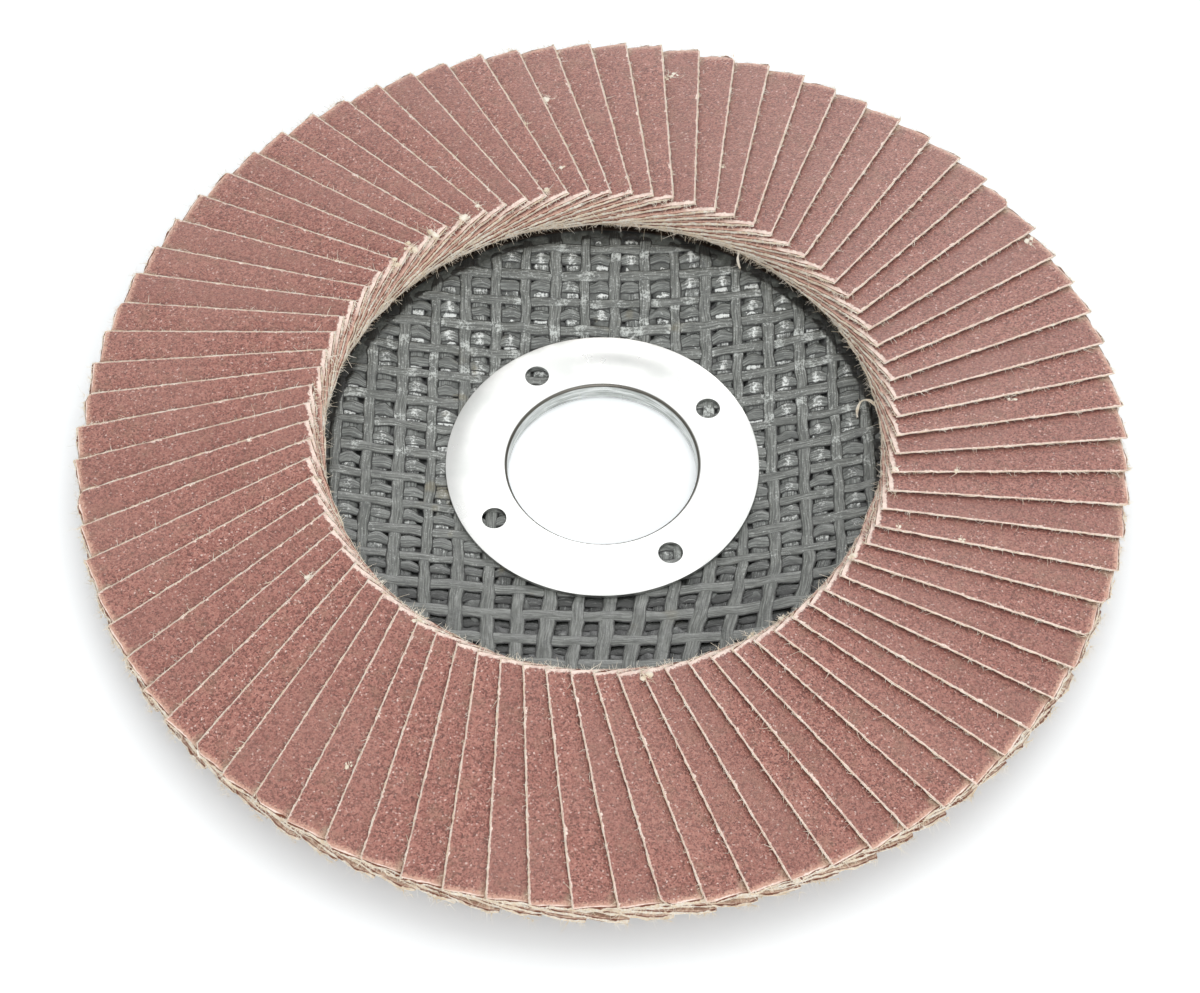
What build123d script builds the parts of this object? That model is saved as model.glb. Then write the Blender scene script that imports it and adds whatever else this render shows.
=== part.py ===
from build123d import *
import math
import os

# Driving sizes, in millimetres and degrees
# Stamped steel ring that lines the bore
BORE_DIAMETER = 22.23
RING_DIAMETER = 36.6
RING_SHEET = 0.45
RING_BEND = 0.35
RING_HOLE_COUNT = 4
RING_HOLE_DIAMETER = 2.85
RING_HOLE_START_ANGLE = 32.1
COLLAR_END_GAP = 0.15
COLLAR_CLEARANCE = 0.05

# Backing plate, pressed from resin and glass mesh
PLATE_THICKNESS = 2.05
DISH_RISE = 2.6
DISH_START_MARGIN = 1.0
BACK_BEND_RADIUS = 5.0
FLAP_LEDGE = 0.6
PLATE_EDGE_CHAMFER = 0.4

# Open windows of the glass mesh in the dished face
WEAVE_PITCH = 3.65
WEAVE_BAND = 1.35
WEAVE_DEPTH = 0.35
WEAVE_SHIFT_X = -0.2
WEAVE_SHIFT_Y = -0.66
WEAVE_EDGE_MARGIN = 0.6

# Abrasive cloth flaps, laid round the plate like a fan
FLAP_COUNT = 82
FLAP_WIDTH = 19.58
FLAP_LENGTH = 27.46
FLAP_INNER_REACH = 32.1
FLAP_OVERHANG = 3.5
CLOTH_THICKNESS = 0.7
CLOTH_GAP = 0.1
FLAP_STRIPS = 5
FLAPS_PER_PAIR = 2

# Cured adhesive under the glued edges
ADHESIVE_THICKNESS = 0.2
ADHESIVE_MARGIN = 0.9
FLAP_SEAT_GAP = 0.05

# Sizes worked out from the driving ones
bore_radius = BORE_DIAMETER / 2
ring_radius = RING_DIAMETER / 2
ring_hole_circle_radius = (bore_radius + ring_radius) / 2
ring_top = PLATE_THICKNESS + RING_SHEET
collar_radius = bore_radius + RING_SHEET
plate_hole_radius = collar_radius + COLLAR_CLEARANCE
dish_start_radius = ring_radius + DISH_START_MARGIN
dish_end_radius = FLAP_INNER_REACH - FLAP_LEDGE
dish_slope = math.atan2(DISH_RISE, dish_end_radius - dish_start_radius)
plate_top = PLATE_THICKNESS + DISH_RISE
plate_radius = FLAP_INNER_REACH + FLAP_LENGTH - FLAP_OVERHANG
adhesive_top = plate_top + ADHESIVE_THICKNESS
flap_seat = adhesive_top + FLAP_SEAT_GAP
flap_pitch = 360 / FLAP_COUNT
layer_rise = CLOTH_THICKNESS + CLOTH_GAP


def turned(outline: Face) -> Part:
    """A solid of revolution about Z from a face drawn in the XZ plane."""
    return revolve(Plane.XZ * outline, Axis.Z)


def make_centre_ring() -> Part:
    """The stamped ring: a flat flange, a turned-down edge and a short collar in the bore."""
    with BuildSketch() as section:
        with BuildLine():
            Polyline(
                (ring_radius, ring_top),
                (bore_radius, ring_top),
                (bore_radius, COLLAR_END_GAP),
                (collar_radius, COLLAR_END_GAP),
                (collar_radius, PLATE_THICKNESS),
                (ring_radius, PLATE_THICKNESS),
                close=True,
            )
        make_face()
        bore_corner = section.vertices().sort_by_distance((bore_radius, ring_top, 0))[0]
        chamfer(bore_corner, RING_BEND)
    ring = turned(section.face())
    punch = Cylinder(RING_HOLE_DIAMETER / 2, 3 * RING_SHEET)
    for place in PolarLocations(ring_hole_circle_radius, RING_HOLE_COUNT, RING_HOLE_START_ANGLE):
        ring -= Pos(0, 0, PLATE_THICKNESS + RING_SHEET / 2) * place * punch
    return ring


def make_plate_blank() -> Part:
    """The backing plate without its weave: a hub, a sloping dish and a flat rim of one thickness."""
    back_shift = PLATE_THICKNESS * math.tan(dish_slope / 2)
    hub_edge = (dish_start_radius + back_shift, 0)
    rim_start = (dish_end_radius + back_shift, DISH_RISE)
    with BuildSketch() as section:
        with BuildLine():
            Polyline(
                (plate_hole_radius, 0),
                hub_edge,
                rim_start,
                (plate_radius, DISH_RISE),
                (plate_radius, plate_top),
                (dish_end_radius, plate_top),
                (dish_start_radius, PLATE_THICKNESS),
                (plate_hole_radius, PLATE_THICKNESS),
                close=True,
            )
        make_face()
        for x, y in (hub_edge, rim_start):
            fillet(section.vertices().sort_by_distance((x, y, 0))[0], BACK_BEND_RADIUS)
        for rim_height in (DISH_RISE, plate_top):
            rim = section.vertices().sort_by_distance((plate_radius, rim_height, 0))[0]
            chamfer(rim, PLATE_EDGE_CHAMFER)
    return turned(section.face())


def weave_window_places() -> list[Location]:
    """Where the open windows of the mesh lie on the dish, square to its slope."""
    half_window = (WEAVE_PITCH - WEAVE_BAND) / 2
    nearest = ring_radius + half_window + WEAVE_EDGE_MARGIN
    farthest = dish_end_radius - half_window - WEAVE_EDGE_MARGIN
    reach = math.ceil(FLAP_INNER_REACH / WEAVE_PITCH)
    places = []
    for row in range(-reach, reach + 1):
        for column in range(-reach, reach + 1):
            x = column * WEAVE_PITCH + WEAVE_SHIFT_X
            y = row * WEAVE_PITCH + WEAVE_SHIFT_Y
            radius = math.hypot(x, y)
            if not nearest < radius < farthest:
                continue
            along_slope = min(max(radius, dish_start_radius), dish_end_radius) - dish_start_radius
            height = PLATE_THICKNESS + along_slope * math.tan(dish_slope)
            inward = math.sin(dish_slope) / radius
            normal = Vector(-x * inward, -y * inward, math.cos(dish_slope))
            flat_x = Vector(1, 0, 0)
            x_dir = flat_x - normal * flat_x.dot(normal)
            places.append(Plane(origin=(x, y, height), x_dir=x_dir, z_dir=normal).location)
    return places


def make_backing_plate() -> Part:
    """The backing plate with the windows of its glass mesh sunk into the dished face."""
    window = WEAVE_PITCH - WEAVE_BAND
    pit = Box(window, window, 2 * WEAVE_DEPTH)
    pits = [place * pit for place in weave_window_places()]
    return make_plate_blank() - pits


def make_adhesive_bed() -> Part:
    """The thin ring of cured adhesive that holds the buried edge of every flap."""
    outer = Cylinder(
        plate_radius - ADHESIVE_MARGIN,
        ADHESIVE_THICKNESS,
        align=(Align.CENTER, Align.CENTER, Align.MIN),
    )
    inner = Cylinder(
        FLAP_INNER_REACH + ADHESIVE_MARGIN,
        ADHESIVE_THICKNESS,
        align=(Align.CENTER, Align.CENTER, Align.MIN),
    )
    return Pos(0, 0, plate_top) * (outer - inner)


def free_edge_height(reach: float) -> float:
    """How high the fan lifts a flap's free edge, at one distance from the axis along the flap."""
    layers_below = 2 * math.degrees(math.atan2(FLAP_WIDTH / 2, reach)) / flap_pitch
    return flap_seat + layers_below * layer_rise


def flap_line(step: int) -> tuple[Vector, Vector]:
    """The inner and outer end of one line along the flap, counted from its buried edge."""
    share = step / FLAP_STRIPS
    across = FLAP_WIDTH / 2 - share * FLAP_WIDTH
    ends = []
    for reach in (FLAP_INNER_REACH, FLAP_INNER_REACH + FLAP_LENGTH):
        height = flap_seat + share * (free_edge_height(reach) - flap_seat)
        ends.append(Vector(reach, across, height))
    return ends[0], ends[1]


def make_flap() -> Solid:
    """
    One cloth flap: a rectangle in plan, twisted as it climbs from its buried edge over its neighbours
    to its free edge. Flat strips, each of two triangles, follow the twist.
    """
    upward = (0, 0, 1)
    facets = []
    for step in range(FLAP_STRIPS):
        low_inner, low_outer = flap_line(step)
        high_inner, high_outer = flap_line(step + 1)
        facets.append(make_face(Polyline(low_inner, low_outer, high_inner, close=True)))
        facets.append(make_face(Polyline(low_outer, high_outer, high_inner, close=True)))
    prisms = [extrude(facet, CLOTH_THICKNESS, dir=upward) for facet in facets]
    return prisms[0].fuse(*prisms[1:])


def make_flap_pair(flap: Solid, first: int) -> Compound:
    """Neighbouring flaps of the fan, as separate solids in one group."""
    turns = range(first, first + FLAPS_PER_PAIR)
    return Compound(children=[Rot(0, 0, turn * flap_pitch) * flap for turn in turns])


def main() -> None:
    """Builds every piece and writes each to its own file."""
    os.makedirs("parts", exist_ok=True)
    pieces = {
        "centre_ring": make_centre_ring(),
        "backing_plate": make_backing_plate(),
        "adhesive_bed": make_adhesive_bed(),
    }
    flap = make_flap()
    for pair in range(FLAP_COUNT // FLAPS_PER_PAIR):
        pieces[f"flap_pair_{pair + 1:02d}"] = make_flap_pair(flap, pair * FLAPS_PER_PAIR)
    for name, piece in pieces.items():
        export_step(piece, f"parts/{name}.step")


main()
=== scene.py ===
"""Dresses the flap disc: woven glass plate, stamped centre ring, abrasive cloth fan and loose fibres."""

import logging
import math
from collections.abc import Callable, Sequence
from dataclasses import dataclass, field
from enum import Enum

import bmesh
import bpy
import numpy as np
from mathutils import Matrix, Vector

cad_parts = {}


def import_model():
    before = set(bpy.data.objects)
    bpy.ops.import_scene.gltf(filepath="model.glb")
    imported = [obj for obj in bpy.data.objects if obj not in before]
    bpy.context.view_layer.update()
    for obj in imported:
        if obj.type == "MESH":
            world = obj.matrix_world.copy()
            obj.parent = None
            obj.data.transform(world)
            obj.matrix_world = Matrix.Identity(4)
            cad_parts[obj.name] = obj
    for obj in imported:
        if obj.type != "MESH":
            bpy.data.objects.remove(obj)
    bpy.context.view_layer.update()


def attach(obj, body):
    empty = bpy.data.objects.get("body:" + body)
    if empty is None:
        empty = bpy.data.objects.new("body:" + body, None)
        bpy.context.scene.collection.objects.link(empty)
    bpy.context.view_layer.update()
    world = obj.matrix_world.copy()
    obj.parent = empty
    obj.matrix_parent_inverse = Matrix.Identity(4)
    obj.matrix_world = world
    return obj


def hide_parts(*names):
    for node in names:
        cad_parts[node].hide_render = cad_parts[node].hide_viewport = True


MM = 0.001
CLOTH_UV = 30.0
log = logging.getLogger("flap_disc")

Socket = bpy.types.NodeSocket
Input = float | tuple | Socket
Shades = tuple[tuple[float, str], ...]
Point = tuple[float, float, float]


def srgb(code: str) -> tuple[float, float, float, float]:
    """Turns a written colour into the linear one that shaders take.

    Args:
        code: The colour as six hex digits, as a screen shows it.

    Returns:
        Linear red, green, blue and a full alpha.
    """
    shares = [int(code[i : i + 2], 16) / 255 for i in (0, 2, 4)]
    red, green, blue = (s / 12.92 if s <= 0.04045 else ((s + 0.055) / 1.055) ** 2.4 for s in shares)
    return red, green, blue, 1.0


def unit(ways: np.ndarray) -> np.ndarray:
    """Brings each row of three numbers to a length of one."""
    return ways / np.linalg.norm(ways, axis=-1, keepdims=True)


def turning(angle: float) -> np.ndarray:
    """The matrix that turns rows of three numbers about the axis by an angle in radians."""
    c, s = math.cos(angle), math.sin(angle)
    return np.array([[c, s, 0], [-s, c, 0], [0, 0, 1]])


def add_node(
    tree: bpy.types.NodeTree,
    kind: str,
    settings: dict[str, object] | None = None,
    inputs: dict[int | str, Input] | None = None,
) -> bpy.types.Node:
    """Adds one node with its settings, values and links.

    Args:
        tree: The node tree that gets the node.
        kind: The node's type name without the word ShaderNode.
        settings: Properties of the node itself; stops are the places and colours of a ramp.
        inputs: Values or sockets to link, by input name or number.

    Returns:
        The new node.
    """
    node = tree.nodes.new(f"ShaderNode{kind}")
    for key, value in (settings or {}).items():
        if key == "stops":
            while len(node.color_ramp.elements) < len(value):
                node.color_ramp.elements.new(0.5)
            for made, (place, code) in zip(node.color_ramp.elements, value):
                made.position, made.color = place, srgb(code)
        else:
            setattr(node, key, value)
    for key, value in (inputs or {}).items():
        if isinstance(value, Socket):
            tree.links.new(value, node.inputs[key])
        else:
            node.inputs[key].default_value = value
    return node


class Step(Enum):
    """What a finish does with values: the node's kind, its settings, the inputs in order, and its output."""

    TIMES = ("Math", {"operation": "MULTIPLY"}, (0, 1), 0)
    PLUS = ("Math", {"operation": "ADD"}, (0, 1), 0)
    LESS = ("Math", {"operation": "SUBTRACT"}, (0, 1), 0)
    LINE = ("Math", {"operation": "MULTIPLY_ADD"}, (0, 1, 2), 0)
    MOST = ("Math", {"operation": "MAXIMUM"}, (0, 1), 0)
    SINE = ("Math", {"operation": "SINE"}, (0,), 0)
    # A soft step from 0 to 1 between two values; it falls where the first is the higher one.
    SOFT = ("MapRange", {"interpolation_type": "SMOOTHSTEP"}, (0, 1, 2), 0)
    # Cloudy noise; its scale is one over the size of its patches in millimetres.
    NOISE = ("TexNoise", {}, ("Vector", "Scale", "Detail", "Roughness"), 0)
    STRETCH = ("VectorMath", {"operation": "MULTIPLY"}, (0, 1), 0)
    LENGTH = ("VectorMath", {"operation": "LENGTH"}, (0,), 1)
    RAMP = ("ValToRGB", {}, (0,), 0)
    COVER = ("Mix", {"data_type": "RGBA"}, (0, 6, 7), 2)
    BUMP = ("Bump", {}, ("Height", "Distance", "Strength", "Normal"), 0)
    FIGURE = ("Attribute", {}, (), "Fac")
    TRIPLE = ("Attribute", {}, (), "Vector")
    MAP = ("UVMap", {}, (), 0)
    X = ("SeparateXYZ", {}, (0,), 0)
    Y = ("SeparateXYZ", {}, (0,), 1)
    Z = ("SeparateXYZ", {}, (0,), 2)


class Yarn(Enum):
    """The way a bundle of glass runs in the plate's mesh."""

    ACROSS = "x"
    UPWARD = "y"


class Side(Enum):
    """The face of the plate that a mesh lies on."""

    FRONT = 1
    BACK = -1


@dataclass(frozen=True)
class Patch:
    """A colour that lies over a finish in soft patches, at most by a share; sizes are in millimetres."""

    colour: str
    share: float
    size: float
    low: float
    high: float
    detail: float = 3.0
    rough: float = 0.55


@dataclass
class Finish:
    """A material under construction, with the shader and the place that every finish here starts with."""

    name: str

    def open(self) -> None:
        """Makes the material with a shader, and its place in millimetres as a vector."""
        self.material = bpy.data.materials.new(self.name)
        self.material.use_nodes = True
        self.tree = self.material.node_tree
        self.tree.nodes.clear()
        self.shader = add_node(self.tree, "BsdfPrincipled")
        add_node(self.tree, "OutputMaterial", None, {"Surface": self.shader.outputs[0]})
        where = add_node(self.tree, "TexCoord").outputs["Object"]
        self.place = self.add(Step.STRETCH, where, (1 / MM, 1 / MM, 1 / MM))

    def add(self, step: Step, *values: Input, **settings: object) -> Socket:
        """Takes one step with values and sockets.

        Args:
            step: What is done.
            values: What goes into its inputs, in their order.
            settings: More properties of the node.

        Returns:
            The socket that holds the result.
        """
        kind, own, inputs, output = step.value
        return add_node(self.tree, kind, {**own, **settings}, dict(zip(inputs, values))).outputs[output]

    def patch(self, colour: Input, patch: Patch) -> Socket:
        """Lays soft patches of a colour over another.

        Args:
            colour: What lies under them.
            patch: Their colour, share and size.

        Returns:
            Both colours together.
        """
        cloud = self.add(Step.NOISE, self.place, 1 / patch.size, patch.detail, patch.rough)
        return self.tint(colour, self.add(Step.SOFT, cloud, patch.low, patch.high), patch.share, patch.colour)

    def tint(self, colour: Input, mask: Input, share: float, code: str) -> Socket:
        """Lays a plain colour over another.

        Args:
            colour: What lies under it.
            mask: Where it lies, from 0 to 1.
            share: How much of it there is where the mask is 1.
            code: The colour as six hex digits.

        Returns:
            Both colours together.
        """
        return self.add(Step.COVER, self.add(Step.TIMES, mask, share), colour, srgb(code))

    def cloth(self) -> tuple[Socket, Socket]:
        """Reads a place on a flap from the flap's own map.

        Returns:
            How many millimetres it is from the flap's inner end, and from its free edge.
        """
        sheet = self.add(Step.MAP, uv_map="cloth")
        along, across = self.add(Step.X, sheet), self.add(Step.Y, sheet)
        return self.add(Step.TIMES, along, CLOTH_UV), self.add(Step.TIMES, across, CLOTH_UV)

    def finish(self, colour: Input, roughness: Input, normal: Input, **sockets: Input) -> bpy.types.Material:
        """Gives the shader its inputs.

        Args:
            colour: The base colour.
            roughness: The roughness, from 0 to 1.
            normal: The surface normal.
            sockets: Other inputs by name, with _ for a space.

        Returns:
            The finished material.
        """
        links = {"Base Color": colour, "Roughness": roughness, "Normal": normal}
        links.update({key.replace("_", " "): value for key, value in sockets.items()})
        for key, value in links.items():
            if isinstance(value, Socket):
                self.tree.links.new(value, self.shader.inputs[key])
            else:
                self.shader.inputs[key].default_value = value
        return self.material


@dataclass(frozen=True)
class GritCloth:
    """Aluminium oxide grit bonded on cotton: rose-brown, sharp grained and matt, worn pale along its cuts."""

    grain: float = 0.17
    grains: Shades = ((0.0, "5A3028"), (0.24, "8F554A"), (0.50, "AF7365"), (0.96, "BE8678"), (1.0, "F0D6CC"))
    worn: str = "FFE9DC"
    peach: str = "E6B8A2"
    patches: tuple[Patch, ...] = (
        Patch("834C40", 0.36, 0.9, 0.42, 0.66, 5.0, 0.75),
        Patch("643A30", 0.72, 0.46, 0.52, 0.62, 3.0, 0.85),
        Patch("E6BCAF", 0.62, 0.40, 0.62, 0.70, 3.0, 0.85),
        Patch("977660", 0.30, 2.6, 0.50, 0.68, 4.0, 0.7),
        Patch("AE8276", 0.20, 13.0, 0.42, 0.66, 2.0),
    )

    def make(self) -> bpy.types.Material:
        """Builds the grit: grains are drawn at 0.17 mm where real ones are near 0.12, so that they show.

        Returns:
            The finished material.
        """
        f = Finish("aluminium_oxide_grit")
        f.open()
        cells = add_node(f.tree, "TexVoronoi", None, {"Vector": f.place, "Scale": 1 / self.grain})
        chance = add_node(f.tree, "SeparateColor", None, {0: cells.outputs["Color"]}).outputs[0]
        colour = f.add(Step.RAMP, chance, stops=self.grains)
        for patch in self.patches:
            colour = f.patch(colour, patch)
        colour = f.tint(colour, f.add(Step.FIGURE, attribute_name="tone"), 0.28, "8E5F55")
        colour = self.edges(f, colour)
        normal = f.add(Step.BUMP, f.add(Step.LESS, 0.6, cells.outputs["Distance"]), 0.09 * MM, 0.75)
        normal = f.add(Step.BUMP, f.add(Step.NOISE, f.place, 1 / 0.5, 3.0, 0.55), 0.09 * MM, 0.6, normal)
        sheen = {"Sheen_Weight": 0.42, "Sheen_Roughness": 0.45}
        return f.finish(colour, 0.50, normal, Specular_IOR_Level=0.50, **sheen)

    def edges(self, f: Finish, colour: Socket) -> Socket:
        """Rubs the grit peach beside the cuts, wears it cream on them, and dusts the covered outer rim.

        Args:
            f: The material that is being made.
            colour: The grit's own colour.

        Returns:
            The colour with its edges.
        """
        frayed = f.add(Step.NOISE, f.place, 1 / 0.5, 4.0, 0.75)
        fine = f.add(Step.NOISE, f.place, 1 / 0.28, 4.0, 0.8)
        inner, free = f.cloth()
        outer = f.add(Step.LESS, FlapFan.length, inner)
        rubbed = 0.0
        rubs = ((outer, -0.42, 0.34, 1.0), (inner, -0.75, 0.30, 1.0), (free, -1.1, 0.24, 0.7))
        for distance, fade, start, share in rubs:
            beside = f.add(Step.PLUS, fine, f.add(Step.LINE, distance, fade, start))
            rub = f.add(Step.TIMES, f.add(Step.SOFT, beside, 0.50, 0.72), share)
            rubbed = f.add(Step.MOST, rub, rubbed)
        colour = f.tint(colour, rubbed, 0.72, self.peach)
        covered = f.add(Step.SOFT, free, 3.4, 4.6)
        dusty = f.add(Step.TIMES, covered, f.add(Step.SOFT, outer, 2.2, 0.8))
        dust = f.add(Step.COVER, f.add(Step.SOFT, frayed, 0.42, 0.56), srgb("8A6A56"), srgb("CDB79E"))
        colour = f.add(Step.COVER, f.add(Step.TIMES, dusty, 0.72), colour, dust)
        clumps = f.add(Step.SOFT, f.add(Step.NOISE, f.place, 1 / 1.1, 4.0, 0.7), 0.40, 0.56)
        beaded = f.add(Step.LINE, clumps, 0.35, 0.65)
        blobs = f.add(Step.SOFT, f.add(Step.NOISE, f.place, 1 / 1.3, 4.0, 0.75), 0.56, 0.68)
        past = f.add(Step.LESS, f.add(Step.LINE, fine, -0.32, free), f.add(Step.TIMES, blobs, 0.22))
        worn = f.add(Step.SOFT, past, 0.02, -0.05)
        uppermost = f.add(Step.LINE, f.add(Step.SOFT, free, 4.4, 2.9), 0.85, 0.15)
        for distance, ragged, depth in ((inner, -1.15, -0.16), (outer, -0.50, -0.12)):
            cut = f.add(Step.SOFT, f.add(Step.LINE, frayed, ragged, distance), 0.0, depth)
            worn = f.add(Step.MOST, f.add(Step.TIMES, cut, uppermost), worn)
        return f.add(Step.COVER, f.add(Step.TIMES, worn, beaded), colour, srgb(self.worn))


@dataclass(frozen=True)
class CutCotton:
    """The cut side of the cloth: undyed cotton, frayed cream, under a thin brown line of grit and bond."""

    cream: str = "FFFAEE"
    tan: str = "F0DCC2"
    grit: str = "7C4A37"
    glue: str = "8F6748"

    def make(self) -> bpy.types.Material:
        """Builds the cut edge from the height in the cloth, which the mesh carries as layer.

        Returns:
            The finished material.
        """
        f = Finish("cut_cotton_edge")
        f.open()
        layer = f.add(Step.FIGURE, attribute_name="layer")
        uneven = f.add(Step.LESS, f.add(Step.NOISE, f.place, 1 / 0.9, 5.0, 0.75), 0.5)
        ragged = f.add(Step.PLUS, layer, f.add(Step.TIMES, uneven, 1.1))
        threads = f.add(Step.SOFT, f.add(Step.NOISE, f.place, 1 / 0.32, 3.0, 0.7), 0.36, 0.62)
        cloth = f.add(Step.COVER, threads, srgb(self.tan), srgb(self.cream))
        cloth = f.patch(cloth, Patch("EACFA9", 0.35, 2.3, 0.45, 0.60))
        # The grit line fades to a quarter on the long free side, which wears the most.
        buried = f.add(Step.LINE, f.add(Step.SOFT, f.cloth()[1], 0.06, 0.24), 0.75, 0.25)
        bonded = f.add(Step.TIMES, f.add(Step.SOFT, ragged, 0.70, 0.86), buried)
        colour = f.add(Step.COVER, bonded, cloth, srgb(self.grit))
        colour = f.add(Step.COVER, f.add(Step.SOFT, ragged, 0.16, 0.00), colour, srgb(self.glue))
        normal = f.add(Step.BUMP, f.add(Step.NOISE, f.place, 1 / 0.22, 4.0, 0.75), 0.16 * MM, 1.0)
        return f.finish(colour, 0.95, normal, Specular_IOR_Level=0.2, Sheen_Weight=0.25)


@dataclass(frozen=True)
class ClothBack:
    """The filled back of the abrasive cloth: plain woven cotton, sized tan-brown, with its weave showing."""

    thread: float = 0.45

    def make(self) -> bpy.types.Material:
        """Builds the weave along the flap, one thread every 0.45 mm.

        Returns:
            The finished material.
        """
        f = Finish("sized_cotton_back")
        f.open()
        turn = math.tau / self.thread
        warp, weft = (f.add(Step.SINE, f.add(Step.TIMES, distance, turn)) for distance in f.cloth())
        weave = f.add(Step.TIMES, warp, weft)
        colour = f.add(Step.COVER, f.add(Step.SOFT, weave, -0.6, 0.7), srgb("8C6A54"), srgb("B8977C"))
        colour = f.patch(colour, Patch("C9AD91", 1.0, 1.8, 0.45, 0.7))
        return f.finish(colour, 0.9, f.add(Step.BUMP, weave, 0.07 * MM, 0.8), Specular_IOR_Level=0.25)


@dataclass(frozen=True)
class CottonFibre:
    """Loose cotton fibre: soft, matt and nearly white, a little yellow where it has picked up glue."""

    cream: str = "FBF4E6"

    def make(self) -> bpy.types.Material:
        """Builds the fibre's cream with faint changes along it.

        Returns:
            The finished material.
        """
        f = Finish("loose_cotton_fibre")
        f.open()
        colour = f.patch(srgb(self.cream), Patch("EBDCC2", 1.0, 1.4, 0.4, 0.65))
        normal = f.add(Step.BUMP, f.add(Step.NOISE, f.place, 1 / 0.12, 2.0, 0.55), 0.04 * MM, 0.6)
        return f.finish(colour, 0.95, normal, Specular_IOR_Level=0.2, Sheen_Weight=0.4)


@dataclass(frozen=True)
class CoatedGlass:
    """Woven glass pressed in phenolic resin: grey, smooth, faintly glossy, pale where the glass is dry.

    The last two fields set painted shade: on the near side of the dish, and at the foot of the flap wall.
    """

    name: str = "resin_coated_glass"
    body: str = "575A56"
    pale: str = "8D908C"
    dry: str = "D2D7D3"
    gloss: float = 0.34
    near_painted_shade: float = 0.0
    # How dark the painted shade at the foot of the flap wall is.
    glue: float = 0.85

    def make(self) -> bpy.types.Material:
        """Builds filaments along each bundle, resin that pools over them, and dry glints where the mesh says.

        Returns:
            The finished material.
        """
        f = Finish(self.name)
        f.open()
        along = f.add(Step.STRETCH, f.add(Step.TRIPLE, attribute_name="yarn"), (0.45, 6.5, 1.0))
        filaments = f.add(Step.NOISE, along, 1.0, 3.0, 0.6)
        pooled = f.add(Step.NOISE, f.place, 1 / 1.3, 3.0, 0.6)
        colour = f.add(Step.COVER, f.add(Step.SOFT, filaments, 0.36, 0.68), srgb(self.body), srgb(self.pale))
        colour = f.tint(colour, f.add(Step.SOFT, pooled, 0.50, 0.36), 0.35, "484B49")
        lie = f.add(Step.TRIPLE, attribute_name="lie")
        crown, bare = f.add(Step.X, lie), f.add(Step.Y, lie)
        streak = f.add(Step.TIMES, f.add(Step.LESS, filaments, 0.5), 0.35)
        speckle = f.add(Step.PLUS, f.add(Step.NOISE, f.place, 1 / 0.34, 4.0, 0.8), streak)
        clumps = f.add(Step.TIMES, f.add(Step.NOISE, f.place, 1 / 1.1, 4.0, 0.75), 1.5)
        dry = f.add(Step.LINE, f.add(Step.TIMES, bare, clumps), 0.55, speckle)
        colour = f.tint(colour, f.add(Step.SOFT, dry, 0.62, 0.86), 0.92, self.dry)
        # Painted shade: the near side of the dish is darkened, most between the filaments, where the windows
        # lie deep.
        near = f.add(Step.SOFT, f.add(Step.Y, f.place), -10.0, -19.0)
        sunk = f.add(Step.TIMES, near, f.add(Step.SOFT, filaments, 0.72, 0.58))
        colour = f.tint(colour, sunk, self.near_painted_shade, "1E201E")
        reach = f.add(Step.LENGTH, f.place)
        stain = f.add(Step.SOFT, f.add(Step.NOISE, f.place, 1 / 4.2, 2.0, 0.55), 0.60, 0.72)
        by_ring = f.add(Step.SOFT, reach, 24.5, 20.0)
        colour = f.tint(colour, f.add(Step.TIMES, stain, by_ring), 0.45, "8C8262")
        # Painted shade: near-black lines along the low sides of each bundle, in the crevices between them.
        low = f.add(Step.LINE, f.add(Step.NOISE, f.place, 1 / 0.9, 3.0, 0.55), 0.7, crown)
        colour = f.tint(colour, f.add(Step.SOFT, low, 0.98, 0.62), 0.88, "151615")
        # Painted shade: a near-black ragged band at the foot of the flap wall, under the flaps' overhang.
        run = f.add(Step.PLUS, reach, f.add(Step.NOISE, f.place, 1 / 0.9, 4.0, 0.7))
        painted_wall_shade = f.add(Step.TIMES, f.add(Step.SOFT, run, 32.3, 32.7), f.add(Step.SOFT, reach, 36.0, 34.0))
        colour = f.tint(colour, painted_wall_shade, self.glue, "161514")
        rough = f.add(Step.LINE, f.add(Step.SOFT, pooled, 0.35, 0.65), 0.22, self.gloss)
        normal = f.add(Step.BUMP, filaments, 0.06 * MM, 0.7)
        normal = f.add(Step.BUMP, f.add(Step.NOISE, f.place, 1 / 0.8, 4.0, 0.7), 0.20 * MM, 0.8, normal)
        return f.finish(colour, rough, normal, Specular_IOR_Level=0.42, Coat_Weight=0.22, Coat_Roughness=0.18)


@dataclass(frozen=True)
class PressedResin:
    """Phenolic resin between the bundles: almost black in the pits, grey where it has filled them."""

    pit: Shades = ((0.30, "1A1C1B"), (0.60, "2A2C2B"), (0.80, "414441"))
    film: Shades = ((0.30, "3C3F3C"), (0.60, "5C605C"), (0.80, "80847F"))

    def make(self) -> bpy.types.Material:
        """Builds the dark ground of the plate, paler where the mesh's height says that resin pooled.

        Returns:
            The finished material.
        """
        f = Finish("pressed_phenolic_resin")
        f.open()
        lumps = f.add(Step.NOISE, f.place, 1 / 0.8, 4.0, 0.65)
        pit, film = (f.add(Step.RAMP, lumps, stops=stops) for stops in (self.pit, self.film))
        pool = f.add(Step.SOFT, f.add(Step.FIGURE, attribute_name="pool"), 0.35, 0.85)
        colour = f.add(Step.COVER, pool, pit, film)
        normal = f.add(Step.BUMP, lumps, 0.22 * MM, 0.9)
        return f.finish(colour, 0.42, normal, Coat_Weight=0.3, Coat_Roughness=0.2)


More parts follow.
